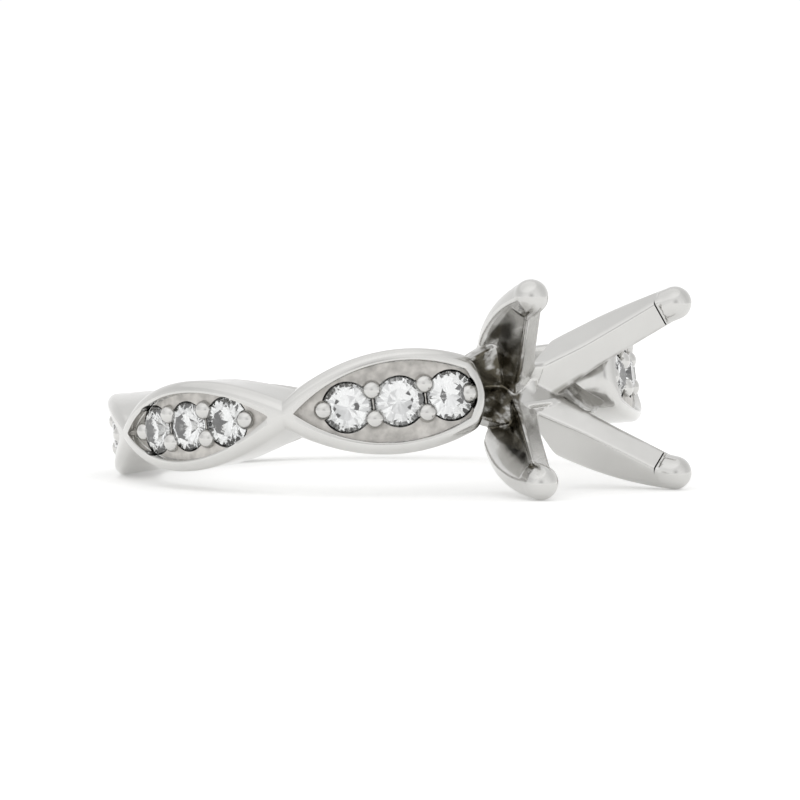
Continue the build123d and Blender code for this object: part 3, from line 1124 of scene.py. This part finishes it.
class RING_OT_beads(bpy.types.Operator):
    """Raised beads between the stones and in the tips of the recesses"""

    bl_idname = "ring.build_beads"
    bl_label = "Build beads"

    def execute(self, context):
        s, t = settings().shank, settings().stones
        floor = s.finger_radius + s.band_wall - s.recess_depth
        spots, facings, sizes = [], [], []
        for turn, z, radius in bead_places(t):
            outward = Vector((math.cos(turn), math.sin(turn), 0))
            spots.append(RING @ Vector((floor * outward.x, floor * outward.y, z)))
            facings.append(ring_direction(outward))
            sizes.append(radius * MM)
        mesh = bpy.data.meshes.new("bead_points")
        mesh.from_pydata(spots, [], [])
        facing = mesh.attributes.new("facing", "FLOAT_VECTOR", "POINT")
        facing.data.foreach_set("vector", np.array(facings, np.float32).ravel())
        size = mesh.attributes.new("bead_radius", "FLOAT", "POINT")
        size.data.foreach_set("value", np.array(sizes, np.float32))
        beads = add_object("beads", mesh)
        tree, height_share = bead_tree(polished_metal())
        nodes = beads.modifiers.new("beads", "NODES")
        nodes.node_group = tree
        nodes[height_share] = t.bead_height
        replace_mesh(beads)
        declare(beads)
        return {"FINISHED"}


class RING_OT_stones(bpy.types.Operator):
    """Finish of the eighteen small round stones"""

    bl_idname = "ring.dress_stones"
    bl_label = "Dress stones"

    def execute(self, context):
        if not STONE_NODES:
            raise RuntimeError("the packed ring has no stones")
        clear = clear_stone()
        for name in STONE_NODES:
            stone = frame["nodes"][name]
            for place in stone.material_slots:
                place.material = clear
            if not stone.material_slots:
                stone.data.materials.append(clear)
        return {"FINISHED"}


# Stage


def add_camera():
    """Camera at the photograph's angle."""
    azimuth, elevation = math.radians(VIEW_AZIMUTH), math.radians(VIEW_ELEVATION)
    level = math.cos(elevation)
    ahead = Vector((math.sin(azimuth) * level, math.cos(azimuth) * level, -math.sin(elevation)))
    lens = bpy.data.cameras.new("camera")
    lens.sensor_width = SENSOR_WIDTH
    lens.lens = SENSOR_WIDTH * FOCAL_PIXELS / FRAME_PIXELS
    lens.clip_start = NEAREST_SEEN * MM
    camera = add_object("camera", lens)
    camera.location = (Vector(AIM) - ahead * VIEW_DISTANCE) * MM
    camera.rotation_euler = ahead.to_track_quat("-Z", "Y").to_euler()
    bpy.context.scene.camera = camera


def add_light():
    """Even light from far overhead, with soft shadows."""
    data = bpy.data.lights.new("overhead", "SUN")
    data.energy = LIGHT_POWER
    data.angle = math.radians(LIGHT_SOFTNESS)
    light = add_object("overhead", data)
    light.rotation_euler = Vector(LIGHT_TOWARDS).to_track_quat("-Z", "Y").to_euler()


def tone_ramp(tree, source, places, tones):
    """Grey tone over a value from zero to one."""
    ramp = tree.nodes.new("ShaderNodeValToRGB")
    elements = ramp.color_ramp.elements
    while len(elements) < len(tones):
        elements.new(0.5)
    for element, place, tone in zip(elements, places, tones):
        element.position = place
        element.color = (tone, tone, tone, 1)
    tree.links.new(source, ramp.inputs["Fac"])
    return ramp.outputs["Color"]


def studio_world():
    """White tent all round the ring, dim where it opens to the front."""
    world = bpy.data.worlds.new("studio")
    bpy.context.scene.world = world
    world.use_nodes = True
    tree = world.node_tree
    tree.nodes.clear()
    way = tree.nodes.new("ShaderNodeTexCoord").outputs["Generated"]
    parts = tree.nodes.new("ShaderNodeSeparateXYZ")
    tree.links.new(way, parts.inputs["Vector"])
    to_opening = span_node(tree, dot_node(tree, way, TENT_OPENING), -1, 1)
    around = tone_ramp(tree, to_opening, TENT_PLACES, TENT_TONES)
    height = span_node(tree, parts.outputs["Z"], 0, 1)
    above = tone_ramp(tree, height, HEIGHT_PLACES, HEIGHT_TONES)
    background = tree.nodes.new("ShaderNodeBackground")
    background.inputs["Color"].default_value = (1, 1, 1, 1)
    tone = math_node(tree, "MULTIPLY", around, above)
    tree.links.new(tone, background.inputs["Strength"])
    output = tree.nodes.new("ShaderNodeOutputWorld")
    tree.links.new(background.outputs["Background"], output.inputs["Surface"])


class RING_OT_stage(bpy.types.Operator):
    """Pale floor, soft studio light and the camera"""

    bl_idname = "ring.build_stage"
    bl_label = "Build stage"

    def execute(self, context):
        half = FLOOR_HALF_WIDTH
        corners = [(-half, -half, 0), (half, -half, 0), (half, half, 0), (-half, half, 0)]
        mesh = bpy.data.meshes.new("floor")
        mesh.from_pydata(corners, [], [(0, 1, 2, 3)])
        mesh.materials.append(pale_floor())
        add_object("floor", mesh)
        add_light()
        studio_world()
        add_camera()
        bpy.context.scene.view_settings.view_transform = "Standard"
        return {"FINISHED"}


class RingSetting(bpy.types.PropertyGroup):
    """All sizes and finishes of the ring"""

    shank: PointerProperty(type=ShankSizes)
    stones: PointerProperty(type=StoneSizes)
    head: PointerProperty(type=HeadSizes)
    look: PointerProperty(type=RingLook)


OPERATORS = (RING_OT_shank, RING_OT_head, RING_OT_beads, RING_OT_stones, RING_OT_stage)


class RING_PT_panel(bpy.types.Panel):
    """Buttons and sizes of the ring in the sidebar"""

    bl_idname = "RING_PT_panel"
    bl_label = "Ring setting"
    bl_space_type = "VIEW_3D"
    bl_region_type = "UI"
    bl_category = "Ring"

    def draw(self, context):
        for operator in OPERATORS:
            self.layout.operator(operator.bl_idname)
        for group in (settings().shank, settings().stones, settings().head, settings().look):
            box = self.layout.box()
            for name in group.__annotations__:
                box.prop(group, name)


CLASSES = (ShankSizes, StoneSizes, HeadSizes, RingLook, RingSetting, *OPERATORS, RING_PT_panel)


def register():
    for cls in CLASSES:
        bpy.utils.register_class(cls)
    bpy.types.Scene.ring_setting = PointerProperty(type=RingSetting)


def unregister():
    del bpy.types.Scene.ring_setting
    for cls in reversed(CLASSES):
        bpy.utils.unregister_class(cls)


def main():
    register()
    bpy.ops.ring.build_shank()
    bpy.ops.ring.build_head()
    bpy.ops.ring.build_beads()
    bpy.ops.ring.dress_stones()
    bpy.ops.ring.build_stage()


if __name__ == "__main__":
    main()
